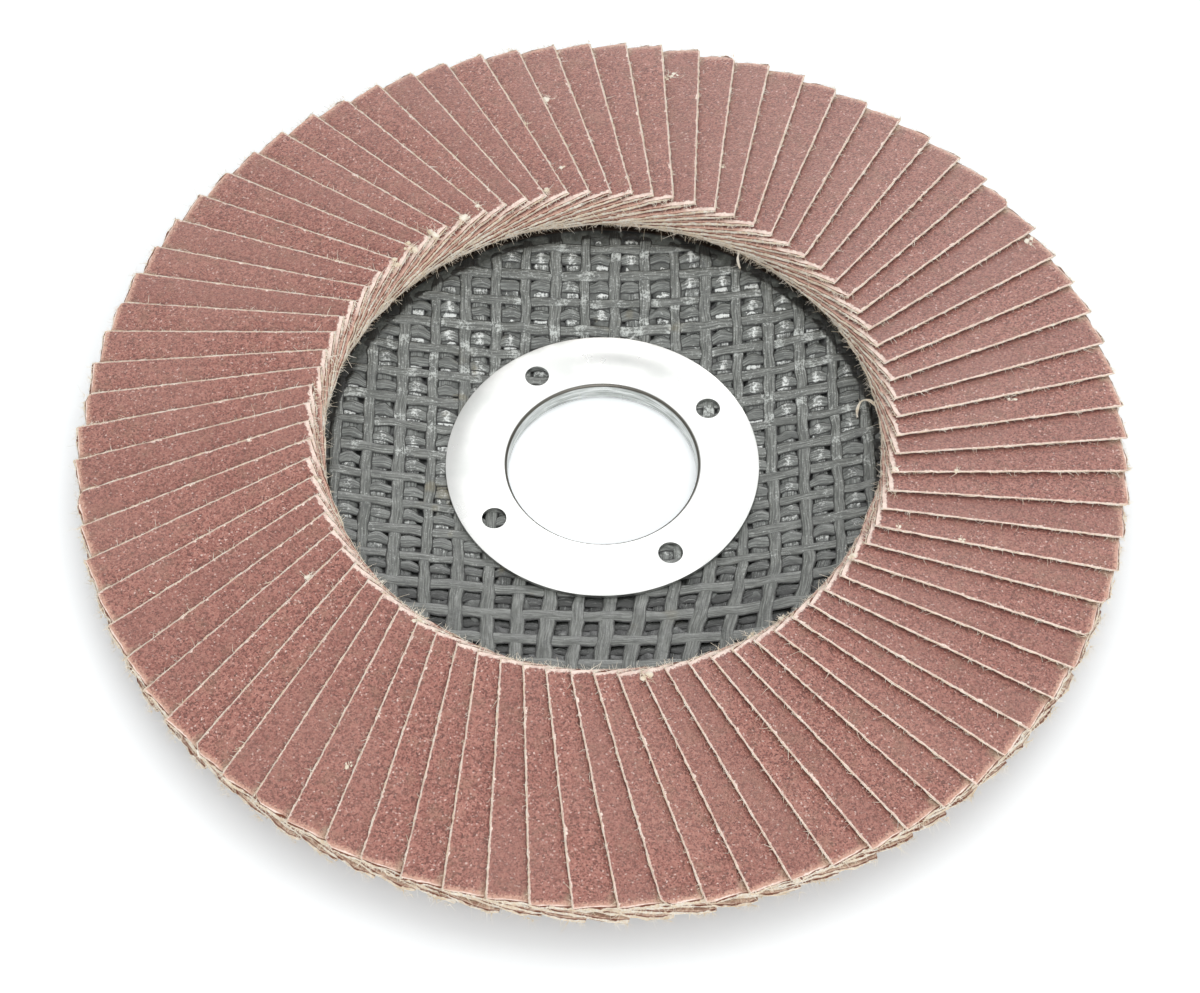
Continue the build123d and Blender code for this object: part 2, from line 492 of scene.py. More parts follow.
@dataclass(frozen=True)
class StampedSteel:
    """Zinc-bright sheet steel, stamped and tumbled: satin and almost white, with a painted dark reflection
    along its bend.
    """

    bore: float = 11.115
    drawn: Shades = ((0.34, "9C9F9B"), (0.50, "C0C2BF"), (0.66, "E6E7E5"))

    def make(self) -> bpy.types.Material:
        """Builds the satin face with short handling scratches, soft smudges and a drawn, streaked collar
        darkened as painted shade.

        Returns:
            The finished material.
        """
        f = Finish("stamped_satin_steel")
        f.open()
        x, y, z = (f.add(step, f.place) for step in (Step.X, Step.Y, Step.Z))
        reach = f.add(Step.LENGTH, add_node(f.tree, "CombineXYZ", None, {0: x, 1: y}).outputs[0])
        smudge = f.add(Step.NOISE, f.place, 1 / 5.5, 4.0, 0.6)
        rubs = {0: f.place, "Rotation": (0, 0, 0.5), "Scale": (0.25, 4.0, 1.0)}
        rubbed = add_node(f.tree, "Mapping", None, rubs).outputs[0]
        scratches = f.add(Step.NOISE, rubbed, 1 / 0.9, 5.0, 0.75)
        colour = f.add(Step.COVER, f.add(Step.SOFT, smudge, 0.40, 0.66), srgb("D4D5D3"), srgb("CCCECC"))
        colour = f.tint(colour, f.add(Step.SOFT, scratches, 0.60, 0.72), 0.20, "D9DAD6")
        # The collar: streaks from drawing, in a grey darker than the flange's that is painted shade on its
        # upright wall.
        around = f.add(Step.STRETCH, f.place, (0.3, 0.3, 3.0))
        drawn = f.add(Step.RAMP, f.add(Step.NOISE, around, 1 / 0.9, 4.0, 0.6), stops=self.drawn)
        collar = f.add(Step.SOFT, reach, self.bore + 0.10, self.bore + 0.02)
        colour = f.add(Step.COVER, collar, colour, drawn)
        # Painted dark reflection: a brown-grey line along the top of the rounded bend into the bore.
        bend = f.add(Step.SOFT, reach, self.bore + 0.36, self.bore + 0.24)
        painted_bend_reflection = f.add(Step.TIMES, bend, f.add(Step.SOFT, z, 2.05, 2.24))
        colour = f.tint(colour, painted_bend_reflection, 0.88, "4B463C")
        rough = f.add(Step.LINE, f.add(Step.SOFT, smudge, 0.35, 0.7), 0.10, 0.27)
        normal = f.add(Step.BUMP, smudge, 0.05 * MM, 0.3, f.add(Step.BUMP, scratches, 0.006 * MM, 0.5))
        turned = add_node(f.tree, "Tangent", {"direction_type": "RADIAL", "axis": "Z"}).outputs[0]
        return f.finish(colour, rough, normal, Metallic=1.0, Anisotropic=0.85, Tangent=turned)


@dataclass(frozen=True)
class CuredGlue:
    """Cured resin adhesive under the fan: brown-black, glossy and a little uneven."""

    lumps: Shades = ((0.30, "120D0A"), (0.70, "2E2118"))

    def make(self) -> bpy.types.Material:
        """Builds the dark resin with soft lumps.

        Returns:
            The finished material.
        """
        f = Finish("cured_resin_adhesive")
        f.open()
        lumps = f.add(Step.NOISE, f.place, 1 / 1.6, 3.0, 0.55)
        colour = f.add(Step.RAMP, lumps, stops=self.lumps)
        return f.finish(colour, 0.3, f.add(Step.BUMP, lumps, 0.15 * MM, 0.7), Coat_Weight=0.3)


class Bench:
    """Modelling moves that several pieces share."""

    @staticmethod
    def clear() -> None:
        """Leaves edit mode and deselects everything."""
        if bpy.context.object and bpy.context.object.mode != "OBJECT":
            bpy.ops.object.mode_set(mode="OBJECT")
        bpy.ops.object.select_all(action="DESELECT")

    @staticmethod
    def take(piece: bpy.types.Object) -> None:
        """Makes one object the only one selected.

        Args:
            piece: The object.
        """
        Bench.clear()
        piece.select_set(True)
        bpy.context.view_layer.objects.active = piece

    @staticmethod
    def cut_edges(piece: bpy.types.Object, wanted: Callable[[Vector], bool], cuts: int) -> None:
        """Divides the edges that run one way, which lays loops round the piece.

        Args:
            piece: The object to cut.
            wanted: Says whether an edge is cut, from its span from end to end.
            cuts: How many cuts each edge gets.
        """
        Bench.take(piece)
        bpy.ops.object.mode_set(mode="EDIT")
        bpy.ops.mesh.select_mode(type="EDGE")
        bpy.ops.mesh.select_all(action="DESELECT")
        shape = bmesh.from_edit_mesh(piece.data)
        for edge in shape.edges:
            edge.select_set(wanted(edge.verts[1].co - edge.verts[0].co))
        bmesh.update_edit_mesh(piece.data)
        bpy.ops.mesh.subdivide(number_cuts=cuts)
        bpy.ops.object.mode_set(mode="OBJECT")

    @staticmethod
    def bar(sides: int, cuts: int, tip: float = 1.0) -> bpy.types.Object:
        """Models a straight bar along X once, one unit long, with loops along it.

        Args:
            sides: How many sides it has.
            cuts: How many loops it has.
            tip: The radius of its far end, where that of the near one is 1.

        Returns:
            The bar.
        """
        Bench.clear()
        bpy.ops.mesh.primitive_cone_add(
            vertices=sides, radius1=1, radius2=tip, depth=1, rotation=(0, math.pi / 2, 0)
        )
        piece = bpy.context.object
        bpy.ops.object.transform_apply(location=True, rotation=True, scale=True)
        Bench.cut_edges(piece, lambda span: abs(span.x) > 0.5, cuts)
        return piece

    @staticmethod
    def lathe(name: str, profile: Sequence[tuple[float, float]], segments: int) -> bpy.types.Object:
        """Turns a closed profile: a circle is extruded and scaled from point to point, then bridged shut.

        Args:
            name: The new object's name.
            profile: Radius and height of each point, in millimetres.
            segments: How many sides the circle has.

        Returns:
            The turned object.
        """
        Bench.clear()
        bpy.ops.mesh.primitive_circle_add(vertices=segments, radius=profile[0][0] * MM)
        piece = bpy.context.object
        piece.name = piece.data.name = name
        bpy.ops.object.mode_set(mode="EDIT")
        bpy.ops.mesh.select_mode(type="EDGE")
        bpy.ops.mesh.select_all(action="SELECT")
        bpy.ops.transform.translate(value=(0, 0, profile[0][1] * MM))
        for (radius, height), (next_radius, next_height) in zip(profile, profile[1:]):
            rise = (0, 0, (next_height - height) * MM)
            bpy.ops.mesh.extrude_edges_move(TRANSFORM_OT_translate={"value": rise})
            grow = next_radius / radius
            bpy.ops.transform.resize(value=(grow, grow, 1), center_override=(0, 0, next_height * MM))
        bpy.ops.mesh.select_all(action="DESELECT")
        bpy.ops.mesh.select_non_manifold()
        bpy.ops.mesh.bridge_edge_loops()
        bpy.ops.mesh.select_all(action="SELECT")
        bpy.ops.mesh.normals_make_consistent(inside=False)
        bpy.ops.object.mode_set(mode="OBJECT")
        return piece

    @staticmethod
    def smooth(piece: bpy.types.Object, degrees: float) -> None:
        """Shades a piece smooth, with creases above an angle."""
        Bench.take(piece)
        bpy.ops.object.shade_smooth_by_angle(angle=math.radians(degrees))

    @staticmethod
    def points(mesh: bpy.types.Mesh) -> np.ndarray:
        """Reads a mesh's points.

        Args:
            mesh: The mesh.

        Returns:
            Its points as rows of three numbers.
        """
        flat = np.zeros(len(mesh.vertices) * 3)
        mesh.vertices.foreach_get("co", flat)
        return flat.reshape(-1, 3)

    @staticmethod
    def copies(name: str, blank: bpy.types.Object, placed: Sequence[np.ndarray]) -> bpy.types.Object:
        """Joins copies of a blank, each with its own points, in one object.

        Args:
            name: The new object's name.
            blank: The piece that was modelled once; its faces, materials and map are copied.
            placed: For each copy, its points in millimetres, in the blank's order.

        Returns:
            The new object, at the origin.
        """
        source = blank.data
        count = len(source.vertices)
        faces = [tuple(face.vertices) for face in source.polygons]
        all_faces = [tuple(i + k * count for i in face) for k in range(len(placed)) for face in faces]
        mesh = bpy.data.meshes.new(name)
        mesh.from_pydata((np.concatenate(placed) * MM).tolist(), [], all_faces)
        for material in source.materials:
            mesh.materials.append(material)
        slots = np.zeros(len(faces), np.int32)
        source.polygons.foreach_get("material_index", slots)
        mesh.polygons.foreach_set("material_index", np.tile(slots, len(placed)))
        if source.uv_layers:
            flat = np.zeros(len(source.loops) * 2, np.float32)
            source.uv_layers[0].data.foreach_get("uv", flat)
            layer = mesh.uv_layers.new(name=source.uv_layers[0].name)
            layer.data.foreach_set("uv", np.tile(flat, len(placed)))
        mesh.update()
        piece = bpy.data.objects.new(name, mesh)
        bpy.context.scene.collection.objects.link(piece)
        return piece

    @staticmethod
    def number(piece: bpy.types.Object, name: str, values: np.ndarray) -> None:
        """Gives each point of a piece a number, or three, that its material reads.

        Args:
            piece: The piece.
            name: The attribute's name.
            values: One row for each point.
        """
        kind, key = ("FLOAT_VECTOR", "vector") if values.ndim == 2 else ("FLOAT", "value")
        attribute = piece.data.attributes.new(name, kind, "POINT")
        attribute.data.foreach_set(key, values.astype(np.float32).ravel())

    @staticmethod
    def join(pieces: Sequence[bpy.types.Object]) -> bpy.types.Object:
        """Joins pieces into the first of them.

        Args:
            pieces: The objects to join.

        Returns:
            The first one, with the others in it.
        """
        Bench.clear()
        for piece in pieces:
            piece.select_set(True)
        bpy.context.view_layer.objects.active = pieces[0]
        bpy.ops.object.join()
        return pieces[0]

    @staticmethod
    def scrap(piece: bpy.types.Object) -> None:
        """Removes a blank or a cutter that has done its work."""
        bpy.data.objects.remove(piece, do_unlink=True)

    @staticmethod
    def fit(piece: bpy.types.Object, slot: str) -> None:
        """Lets a finished piece ride on the disc, and logs how many faces it has.

        Args:
            piece: The finished piece.
            slot: What it is made of; not used.
        """
        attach(piece, "root")
        log.info("made %s with %d faces", piece.name, len(piece.data.polygons))


@dataclass
class Waver:
    """A smooth wander along a length, the same each time for one seed."""

    seed: int
    waves: tuple[float, ...] = (23.0, 9.0, 4.1)

    def at(self, distance: np.ndarray) -> np.ndarray:
        """Reads the wander.

        Args:
            distance: How far along each place is.

        Returns:
            How far it wanders at each place, from -1 to 1.
        """
        phases = np.random.default_rng(self.seed).uniform(0, math.tau, len(self.waves))
        turns = [np.sin(distance * math.tau / wave + phase) for wave, phase in zip(self.waves, phases)]
        return sum(turns) / len(self.waves)


@dataclass
class PlateShape:
    """The dished plate's two faces, as heights over the distance from the axis, in millimetres."""

    hole: float = 11.615
    thickness: float = 2.05
    dish_start: float = 19.3
    dish_end: float = 31.5
    rise: float = 2.6
    radius: float = 56.06
    back_shift: float = 0.2155

    def front(self, reach: np.ndarray | float) -> np.ndarray:
        """The height of the working side."""
        climbed = np.clip((reach - self.dish_start) / (self.dish_end - self.dish_start), 0, 1)
        return self.thickness + self.rise * climbed

    def back(self, reach: np.ndarray | float) -> np.ndarray:
        """Reads the height of the back, whose bends are eased.

        Args:
            reach: The distance from the axis.

        Returns:
            The height there.
        """
        start = self.dish_start + self.back_shift
        share = np.clip((reach - start) / (self.dish_end - self.dish_start), 0, 1)
        eased = share + 0.012 * np.sin(share * math.tau)
        return self.rise * eased


@dataclass
class Ply:
    """One woven layer of glass bundles, and how it lies.

    Of two widths or depths, the second is for the upward bundles.
    """

    name: str
    side: Side
    widths: tuple[float, float]
    depths: tuple[float, float]
    crimp: float
    shift: float
    outer: float
    thick: float = 0.30
    inner: float = 12.1
    pitch: float = 3.65
    origin_x: float = -0.2
    origin_y: float = -0.66
    wander: float = 0.13
    arch: float = 0.0
    unrest: float = 0.03
    step: float = 0.62


@dataclass
class MeshPlate:
    """The backing plate: a pressed resin body with glass mesh on both faces.

    The uneven sizes say how far a bundle's width and place wander, and the near ones how the mesh lies on
    the near side of the dish.
    """

    shape: PlateShape = field(default_factory=PlateShape)
    segments: int = 384
    front_floor: float = 0.56
    back_floor: float = 0.26
    pool_depth: float = 0.38
    pool_waves: tuple[float, ...] = (9.0, 5.1, 3.3, 2.1)
    pool_level: float = 0.34
    pool_swing: float = 0.20
    pool_lean: float = 0.016
    hub_land: float = 12.1
    hub_front_gap: float = 0.02
    hub_back_gap: float = 0.03
    under_ring: tuple[float, float] = (12.4, 18.4)
    well: tuple[float, float] = (18.9, 32.5)
    well_stations: int = 27
    rim_front: float = 33.6
    rim_back: float = 55.3
    back_stations: tuple[float, ...] = (55.0, 34.0, 32.2, 31.2, 28.0, 24.0, 20.4, 19.2, 12.5)
    rim_corner: float = 0.4
    corner_flat: float = 0.12
    open_well: tuple[float, float] = (18.7, 32.6)
    least_wall: float = 0.8
    shallow_from: float = 30.5
    shallow_over: float = 2.0
    shallow_share: float = 0.6
    uneven_width: float = 0.13
    uneven_rows: float = 0.10
    uneven_place: float = 0.20
    pinch: float = 0.42
    near_from: float = -14.0
    near_fade: float = 8.0
    near_swell: float = 0.26
    near_sink: float = 0.32
    flange_end: float = 18.9
    flange_fade: float = 0.5
    flap_start: float = 31.3
    flap_dip: float = 0.12
    bundle_sides: int = 8
    loop_choices: tuple[int, ...] = (18, 34, 56, 98)
    plies: tuple[Ply, ...] = (
        Ply(
            "glass_mesh_face", Side.FRONT, (1.38, 1.44), (0.09, 0.07), 0.035, 0.5, 33.6,
            thick=0.25, wander=0.17,
        ),
        Ply(
            "glass_mesh_under", Side.FRONT, (1.72, 1.95), (0.19, 0.33), 0.03, 0.0, 33.4,
            wander=0.17, arch=0.40, unrest=0.05,
        ),
        Ply(
            "glass_mesh_back", Side.BACK, (1.50, 1.50), (0.18, 0.18), 0.05, 0.5, 55.2,
            thick=0.22, unrest=0.02, step=1.0,
        ),
    )

    def outline(self) -> list[tuple[float, float]]:
        """Draws the resin body's section, its faces sunk below the bundles.

        Returns:
            The radius and height of each point, round once from the hole.
        """
        s = self.shape
        reaches = np.array([*self.under_ring, *np.linspace(*self.well, self.well_stations)])
        heights = s.front(reaches) - self.front_floor * self.shallower(reaches)
        front = zip(reaches.tolist(), heights.tolist())
        back = [(r, float(s.back(r)) + self.back_floor) for r in self.back_stations]
        top, corner, flat = s.thickness + s.rise, self.rim_corner, self.corner_flat
        return [
            (s.hole, s.thickness - self.hub_front_gap),
            (self.hub_land, s.thickness - self.hub_front_gap),
            *front,
            (self.rim_front, top),
            (s.radius - corner, top),
            (s.radius - flat, top - flat),
            (s.radius, top - corner),
            (s.radius, s.rise + corner),
            (s.radius - flat, s.rise + flat),
            (s.radius - corner, s.rise),
            (self.rim_back, s.rise),
            *back,
            (self.hub_land, self.hub_back_gap),
            (s.hole, self.hub_back_gap),
        ]

    def shallower(self, reach: np.ndarray) -> np.ndarray:
        """The share of the pits' depth that is left at each distance; they end shallow under the flaps."""
        return 1 - self.shallow_share * np.clip((reach - self.shallow_from) / self.shallow_over, 0, 1)

    def body(self) -> bpy.types.Object:
        """Turns the resin body and fills its pits unevenly.

        Returns:
            The body.
        """
        s, profile = self.shape, self.outline()
        piece = Bench.lathe("plate_body", profile, self.segments)
        points = Bench.points(piece.data) / MM
        reach, (start, end) = np.hypot(points[:, 0], points[:, 1]), self.open_well
        sunk = (reach > start) & (reach < end) & (points[:, 2] > s.back(reach) + self.least_wall)
        pool = self.pools(points[:, 0], points[:, 1]) * sunk
        points[:, 2] += pool * self.pool_depth * self.shallower(reach)
        piece.data.vertices.foreach_set("co", (points * MM).ravel())
        Bench.number(piece, "pool", pool)
        piece.data.materials.append(PressedResin().make())
        Bench.smooth(piece, 35)
        return piece

    def pools(self, x: np.ndarray, y: np.ndarray) -> np.ndarray:
        """Says how far resin has filled the mesh; most towards the far side.

        Args:
            x: Each place along X.
            y: Each place along Y.

        Returns:
            How full each place is, from 0 to 1.
        """
        rng = np.random.default_rng(5)
        total = np.zeros_like(x)
        for wave in self.pool_waves:
            for _ in range(3):
                angle, phase = rng.uniform(0, math.tau, 2)
                total = total + np.sin((x * math.cos(angle) + y * math.sin(angle)) * math.tau / wave + phase)
        return np.clip(self.pool_level + self.pool_swing * total + self.pool_lean * y, 0, 1)

    def chance(self, seed: int, number: np.ndarray) -> np.ndarray:
        """A share from 0 to 1 for each whole number, the same each time for one seed."""
        return np.random.default_rng(seed).uniform(0, 1, 64)[number % 64]

    def spans(self, ply: Ply, offset: float) -> list[tuple[float, float]]:
        """Finds the lengths in which a bundle crosses the plate, outside its hole.

        Args:
            ply: The layer that it belongs to.
            offset: Its distance from the axis, square to its run.

        Returns:
            Where each length starts and ends.
        """
        if abs(offset) >= ply.outer - 0.8:
            return []
        far = math.sqrt(ply.outer**2 - offset**2)
        if abs(offset) >= ply.inner:
            return [(-far, far)]
        near = math.sqrt(ply.inner**2 - offset**2)
        return [(-far, -near), (near, far)]

    def lay(
        self, ply: Ply, yarn: Yarn, row: int, blank: np.ndarray, span: tuple[float, float], offset: float
    ) -> tuple[np.ndarray, np.ndarray]:
        """Drapes one bundle over the plate.

        Args:
            ply: The layer that it belongs to.
            yarn: The way it runs.
            row: Its number in the layer, which seeds its wander.
            blank: The straight bundle's points.
            span: Where it starts and ends along its run.
            offset: Its distance from the axis, square to its run.

        Returns:
            Its points in millimetres, and for each one its place in the bundle, its height and its dryness.
        """
        upward, under, behind = yarn is Yarn.UPWARD, ply.arch > 0, ply.side is Side.BACK
        seed = 1000 * self.plies.index(ply) + 100 * (row + 20) + 50 * upward
        along = span[0] + (blank[:, 0] + 0.5) * (span[1] - span[0])
        pulled = self.pulled(offset, along) if upward else self.pulled(along, offset)
        nearer = np.clip((self.near_from - (along if upward else offset)) / self.near_fade, 0, 1)
        crossing = (along - pulled[upward]) / ply.pitch - self.phase(ply, yarn)
        window = np.cos(crossing * math.pi) ** 2
        swell = 1 + self.uneven_width * Waver(seed + 1, (7.0, 2.6)).at(along)
        swell = swell + self.uneven_rows * math.sin(seed * 2.3)
        if under and not upward:
            swell = swell - self.pinch * (1 - window)
        swell = swell + self.near_swell * nearer * (not under)
        sideways = blank[:, 1] * ply.widths[upward] / 2 * swell
        centre = offset + self.uneven_place * math.sin(seed * 1.7) + ply.wander * Waver(seed).at(along)
        if under and not upward:
            bowed = 1 + 0.8 * Waver(seed + 4, (8.3, 5.1)).at(along)
            centre = centre + self.uneven_place + ply.arch * (window - 0.5) * bowed
        centre = centre + pulled[not upward]
        x, y = (centre - sideways, along) if upward else (along, centre + sideways)
        reach = np.hypot(x, y)
        face = -self.shape.back(reach) if behind else self.shape.front(reach)
        flat = np.sign(blank[:, 2]) * np.abs(blank[:, 2]) ** (0.7 if under else 0.4)
        sign = -1 if upward else 1
        wave = sign * (2 * window - 1) if under else sign * (-1) ** row * np.cos(crossing * math.pi)
        lift = ply.crimp * wave + ply.unrest * Waver(seed + 9, (13.0, 6.1, 2.9)).at(along)
        rise = -ply.depths[upward] + lift + flat * ply.thick / 2 - self.near_sink * nearer * under
        if not behind:
            # The mesh stays below the ring's flange, and dips where the adhesive and the flaps begin.
            top = -min(ply.depths) + ply.crimp + ply.unrest + ply.thick / 2
            clear = np.clip((reach - self.flange_end) / self.flange_fade, 0, 1)
            rise = rise - (1 - clear) * max(top + self.hub_front_gap, 0)
            rise = rise - self.flap_dip * np.clip(reach - self.flap_start, 0, 1)
        z = face + rise
        if behind:
            # A bundle on the back is turned over, so that its faces still point outwards.
            z = -z
            x, y = (centre + sideways, along) if upward else (along, centre - sideways)
        placed = np.stack([x, y, z], 1)
        number = np.full_like(along, row * 3.7 + (50 if upward else 0))
        bare = self.bare(under, upward, seed, crossing) * np.clip(0.75 + y / 45, 0, 1) * (1 - nearer)
        return placed, np.stack([along, sideways, number, blank[:, 2], bare, 0 * along], 1)

    def pulled(self, x: np.ndarray | float, y: np.ndarray | float) -> tuple[np.ndarray, np.ndarray]:
        """How far pressing has pulled the mesh along X and along Y at a place; it leans on the near side."""
        across = -0.20 * np.clip(self.near_from - y, 0, 20) * np.clip(0.5 + x / 25, 0, 1)
        return across + 0 * x, 1.7 * (np.clip(x - 3, 0, 30) / 26) ** 2 + 0 * y

    def bare(self, under: bool, upward: bool, seed: int, crossing: np.ndarray) -> np.ndarray:
        """Says how dry the glass is along a bundle: most in the near part of each window.

        Args:
            under: Whether the bundle lies in the lower mesh of the working side.
            upward: Whether it runs along Y.
            seed: Its own number.
            crossing: How many crossings lie before each of its points.

        Returns:
            The dryness of each point, from 0 to 1.
        """
        number = np.rint(crossing).astype(int)
        share = crossing - number
        luck, spot = self.chance(seed + 2, number), self.chance(seed + 3, number)
        if under and upward:
            return np.clip(1.25 - np.abs(share + 0.17) / 0.14, 0, 1) * np.clip(0.35 + luck, 0, 1)
        if under:
            return np.clip(1.1 - np.abs(share) / 0.22, 0, 1) * np.where(luck > 0.6, 0.70, 0.45 * luck)
        return 0.20 + np.clip(1.1 - np.abs(share + spot - 0.5) / 0.3, 0, 1) * np.where(luck > 0.6, 0.45, 0.10)

    def phase(self, ply: Ply, yarn: Yarn) -> float:
        """Where the crossing bundles stand along a run, as a share of the pitch."""
        return ((ply.origin_x if yarn is Yarn.ACROSS else ply.origin_y) / ply.pitch) + ply.shift

    def mesh(
        self, ply: Ply, blanks: dict[int, bpy.types.Object], material: bpy.types.Material
    ) -> bpy.types.Object:
        """Weaves one layer over the plate.

        Args:
            ply: The layer's sizes.
            blanks: The straight bundle, by how many loops it has.
            material: The finish of its glass and resin.

        Returns:
            The woven layer as one object.
        """
        reach = math.ceil(ply.outer / ply.pitch) + 1
        bundles: dict[int, list[tuple[np.ndarray, np.ndarray]]] = {loops: [] for loops in blanks}
        for yarn in Yarn:
            start = ply.origin_y if yarn is Yarn.ACROSS else ply.origin_x
            for row in range(-reach, reach + 1):
                offset = start + (row + ply.shift) * ply.pitch
                for span in self.spans(ply, offset):
                    wanted = (span[1] - span[0]) / ply.step
                    loops = min(blanks, key=lambda count: abs(count - wanted))
                    straight = Bench.points(blanks[loops].data)
                    bundles[loops].append(self.lay(ply, yarn, row, straight, span, offset))
        pieces = []
        for loops, laid in bundles.items():
            if laid:
                pieces.append(Bench.copies(ply.name, blanks[loops], [points for points, _ in laid]))
                facts = np.concatenate([told for _, told in laid])
                Bench.number(pieces[-1], "yarn", facts[:, :3])
                Bench.number(pieces[-1], "lie", facts[:, 3:])
        piece = Bench.join(pieces)
        piece.name = ply.name
        piece.data.materials.clear()
        piece.data.materials.append(material)
        Bench.smooth(piece, 50)
        return piece

    def build(self) -> None:
        """Makes the plate in place of its CAD solid."""
        pieces = [self.body()]
        blanks = {loops: Bench.bar(self.bundle_sides, loops) for loops in self.loop_choices}
        face = CoatedGlass().make()
        # The lower mesh takes painted shade on the near side of the dish.
        dry = {"body": "505350", "pale": "8C908C", "dry": "F0F4F1", "gloss": 0.28, "near_painted_shade": 0.9}
        under = CoatedGlass("dry_glass_bundles", **dry).make()
        back = CoatedGlass("resin_coated_back_glass", glue=0.0).make()
        finishes = {"glass_mesh_face": face, "glass_mesh_under": under, "glass_mesh_back": back}
        pieces += [self.mesh(ply, blanks, finishes[ply.name]) for ply in self.plies]
        for blank in blanks.values():
            Bench.scrap(blank)
        for piece in pieces:
            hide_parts("backing_plate")
            Bench.fit(piece, "fibre_laminate")


@dataclass
class CentreRing:
    """The stamped steel ring: a flat flange, a rounded bend into the bore, a short collar and four holes."""

    bore: float = 11.115
    outer: float = 18.3
    bottom: float = 2.05
    sheet: float = 0.45
    bend: float = 0.50
    collar_end: float = 0.15
    edge: float = 0.06
    holes: int = 4
    hole_radius: float = 1.425
    hole_circle: float = 14.71
    first_hole: float = 32.1
    segments: int = 192

    def profile(self) -> list[tuple[float, float]]:
        """Draws the ring's section.

        Returns:
            The radius and height of each point, round once from the flange's outer edge.
        """
        top = self.bottom + self.sheet
        turn = [math.radians(a) for a in (0, 15, 30, 45, 60, 75, 90)]
        centre, middle = self.bore + self.bend, top - self.bend
        bend = [(centre - self.bend * math.sin(a), middle + self.bend * math.cos(a)) for a in turn]
        inside = self.bore + self.sheet
        return [
            (self.outer, self.bottom),
            (self.outer, top - self.edge),
            (self.outer - self.edge * 0.3, top - self.edge * 0.3),
            (self.outer - self.edge, top),
            *bend,
            (self.bore, 0.9),
            (self.bore, self.collar_end + 0.05),
            (self.bore + 0.05, self.collar_end),
            (inside - 0.05, self.collar_end),
            (inside, self.collar_end + 0.05),
            (inside, self.bottom - 0.1),
            (inside + 0.1, self.bottom),
        ]

    def punch(self, ring: bpy.types.Object) -> None:
        """Cuts the four round holes through the flange.

        Args:
            ring: The turned ring.
        """
        middle, out = self.bottom + 0.25, self.hole_circle
        for number in range(self.holes):
            angle = math.radians(self.first_hole + number * 360 / self.holes)
            place = Vector((out * math.cos(angle), out * math.sin(angle), middle)) * MM
            Bench.clear()
            bpy.ops.mesh.primitive_cylinder_add(
                vertices=40, radius=self.hole_radius * MM, depth=1.2 * MM, location=place
            )
            cutter = bpy.context.object
            Bench.take(ring)
            cut = ring.modifiers.new("punch", "BOOLEAN")
            cut.operation, cut.solver, cut.object = "DIFFERENCE", "EXACT", cutter
            bpy.ops.object.modifier_apply(modifier=cut.name)
            Bench.scrap(cutter)

    def build(self) -> None:
        """Makes the ring in place of its CAD solid."""
        ring = Bench.lathe("centre_ring_stamped", self.profile(), self.segments)
        self.punch(ring)
        ring.data.materials.clear()
        ring.data.materials.append(StampedSteel(self.bore).make())
        Bench.smooth(ring, 32)
        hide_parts("centre_ring")
        Bench.fit(ring, "steel_ring")


@dataclass
class Fringe:
    """Cotton fibres that stand out of a cut edge, each one a thin bent hair."""

    sides: int = 3
    cuts: int = 2
    tip: float = 0.35

    def hair(self) -> bpy.types.Object:
        """Models one straight, tapered hair once."""
        return Bench.bar(self.sides, self.cuts, self.tip)

    def grow(
        self,
        blank: np.ndarray,
        roots: np.ndarray,
        ways: np.ndarray,
        bends: np.ndarray,
        lengths: np.ndarray,
        radii: np.ndarray,
    ) -> list[np.ndarray]:
        """Bends a copy of the hair for every root.

        Args:
            blank: The straight hair's points, from -0.5 to 0.5 along X.
            roots: Where each hair starts.
            ways: The unit direction in which each one leaves.
            bends: How far each one's tip is pulled aside, as a share of its length.
            lengths: Each hair's length.
            radii: Each hair's radius at its root.

        Returns:
            The points of each hair.
        """
        share = (blank[:, 0] + 0.5)[None, :, None]
        lengths, radii = lengths[:, None, None], radii[:, None, None]
        line = roots[:, None] + (ways[:, None] * share + bends[:, None] * share**2) * lengths
        run = unit(ways[:, None] + 2 * bends[:, None] * share)
        first = unit(np.cross(run, np.array([0.12, 0.21, 0.97])))
        second = np.cross(run, first)
        placed = line + (first * blank[None, :, 1:2] + second * blank[None, :, 2:3]) * radii
        return list(placed)


